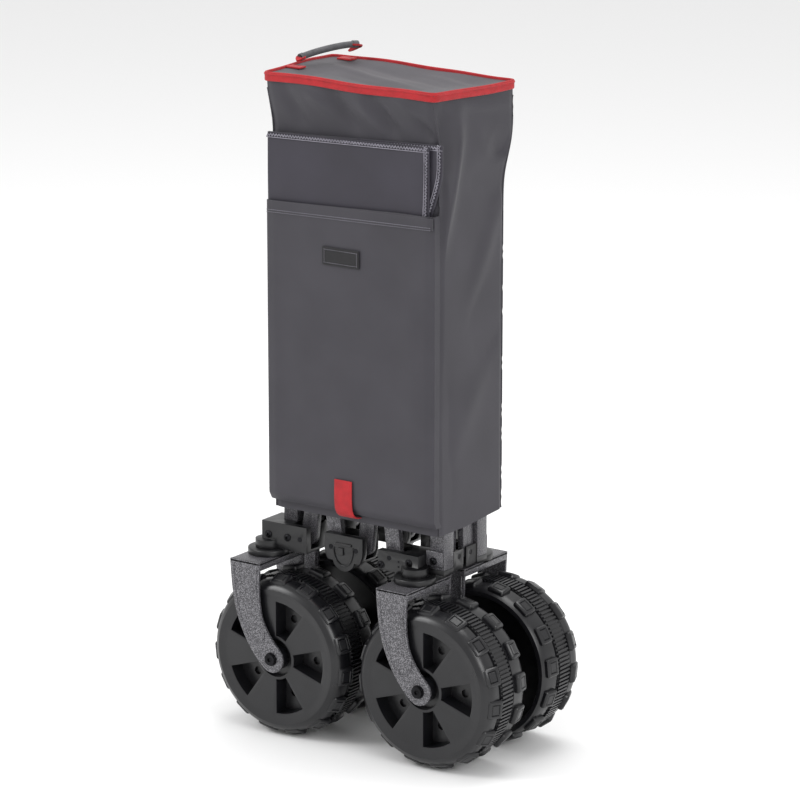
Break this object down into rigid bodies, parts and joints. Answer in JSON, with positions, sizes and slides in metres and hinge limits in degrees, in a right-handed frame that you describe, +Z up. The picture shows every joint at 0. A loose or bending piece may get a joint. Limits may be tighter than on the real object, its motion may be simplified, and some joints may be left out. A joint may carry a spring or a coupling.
{
  "type": "folding wagon",
  "caption": "folding all-terrain wagon, folded upright on fat wheels, with scissor frame, telescopic pull handle and slip-over fabric cover with carry strap",
  "frame": {"origin": "on the ground under the middle of the folded wagon", "axes": "+X to the wagon's rear wheels, +Y to its far side, +Z up along the folded frame"},
  "size_m": [0.413, 0.22, 0.8239],
  "materials": {
    "hammered_paint": "hammered grey paint with a fine pebbled texture",
    "wheel_plastic": "matt black moulded plastic",
    "black_steel": "black zinc finish",
    "grey_steel": "satin dark grey paint",
    "black_plastic": "satin black moulded plastic",
    "grip_rubber": "soft black grip",
    "tub_cloth": "woven polyester, dark grey",
    "cover_cloth": "coated polyester, slate grey",
    "lid_cloth": "coated polyester, lighter slate grey",
    "mat_cloth": "dark grey padded cloth with overlocked edge",
    "red_webbing": "red woven binding",
    "label_patch": "plain black patch, no text",
    "strap_webbing": "grey wrapped webbing"
  },
  "bodies": {
    "frame": {"post_front_near": "grey_steel", "corner_bracket_front_near": "black_plastic", "slider_front_near": "black_plastic", "post_front_far": "grey_steel", "corner_bracket_front_far": "black_plastic", "slider_front_far": "black_plastic", "post_rear_near": "grey_steel", "corner_bracket_rear_near": "black_plastic", "slider_rear_near": "black_plastic", "post_rear_far": "grey_steel", "corner_bracket_rear_far": "black_plastic", "slider_rear_far": "black_plastic", "fork_rear_near": "hammered_paint", "fork_rear_far": "hammered_paint", "axle_bolts_rear": "black_steel", "fork_spacers_rear": "black_plastic", "swivel_bolts": "black_steel", "post_caps": "black_plastic", "centre_bracket_near": "black_plastic", "top_yoke_near": "black_plastic", "side_bar_near_front_inner": "grey_steel", "side_bar_near_front_outer": "grey_steel", "side_bar_near_rear_inner": "grey_steel", "side_bar_near_rear_outer": "grey_steel", "centre_bracket_far": "black_plastic", "top_yoke_far": "black_plastic", "side_bar_far_front_inner": "grey_steel", "side_bar_far_front_outer": "grey_steel", "side_bar_far_rear_inner": "grey_steel", "side_bar_far_rear_outer": "grey_steel", "end_bars_front": "grey_steel", "end_bars_rear": "grey_steel", "frame_rivets": "black_steel", "post_clips": "grey_steel", "bracket_screws": "black_steel", "handle_bracket": "black_plastic", "handle_outer_tube": "grey_steel", "tub_fabric": "tub_cloth"},
    "caster_near": {"fork_front_near": "hammered_paint", "axle_bolt_front_near": "black_steel", "swivel_bearing_front_near": "black_plastic"},
    "caster_far": {"fork_front_far": "hammered_paint", "axle_bolt_front_far": "black_steel", "swivel_bearing_front_far": "black_plastic"},
    "wheel_front_near_body": {"wheel_front_near": "wheel_plastic"},
    "wheel_front_far_body": {"wheel_front_far": "wheel_plastic"},
    "wheel_rear_near_body": {"wheel_rear_near": "wheel_plastic"},
    "wheel_rear_far_body": {"wheel_rear_far": "wheel_plastic"},
    "pull_handle_inner": {"handle_inner_tube": "grey_steel", "handle_grip": "grip_rubber"},
    "cover": {"cover_body": "cover_cloth", "cover_lid": "lid_cloth", "lid_piping": "red_webbing", "front_pocket": "cover_cloth", "floor_mat": "mat_cloth", "blank_label": "label_patch", "pull_tab": "red_webbing", "strap_anchors": "red_webbing"},
    "strap": {"carry_strap": "strap_webbing"}
  },
  "joints": [
    {"name": "caster_near_swivel", "type": "hinge", "parent": "frame", "child": "caster_near", "pos_m": [-0.143, -0.06, 0.212], "axis": [0, 0, 1], "range_deg": [-180, 5]},
    {"name": "caster_far_swivel", "type": "hinge", "parent": "frame", "child": "caster_far", "pos_m": [-0.143, 0.06, 0.212], "axis": [0, 0, 1], "range_deg": [-5, 180]},
    {"name": "wheel_front_near_spin", "type": "hinge", "parent": "caster_near", "child": "wheel_front_near_body", "pos_m": [-0.1065, -0.06, 0.1], "axis": [0, 1, 0], "continuous": true},
    {"name": "wheel_front_far_spin", "type": "hinge", "parent": "caster_far", "child": "wheel_front_far_body", "pos_m": [-0.1065, 0.06, 0.1], "axis": [0, 1, 0], "continuous": true},
    {"name": "wheel_rear_near_spin", "type": "hinge", "parent": "frame", "child": "wheel_rear_near_body", "pos_m": [0.1065, -0.06, 0.1], "axis": [0, 1, 0], "continuous": true},
    {"name": "wheel_rear_far_spin", "type": "hinge", "parent": "frame", "child": "wheel_rear_far_body", "pos_m": [0.1065, 0.06, 0.1], "axis": [0, 1, 0], "continuous": true},
    {"name": "handle_telescope", "type": "slide", "parent": "frame", "child": "pull_handle_inner", "axis": [0, 0, 1], "range_m": [0, 0.03]},
    {"name": "cover_lift", "type": "slide", "parent": "frame", "child": "cover", "axis": [0, 0, 1], "range_m": [0, 0.52]},
    {"name": "strap_swing", "type": "hinge", "parent": "cover", "child": "strap", "pos_m": [-0.1205, 0.024, 0.807], "axis": [0.124, 0.9923, 0], "range_deg": [-80, 30]}
  ]
}
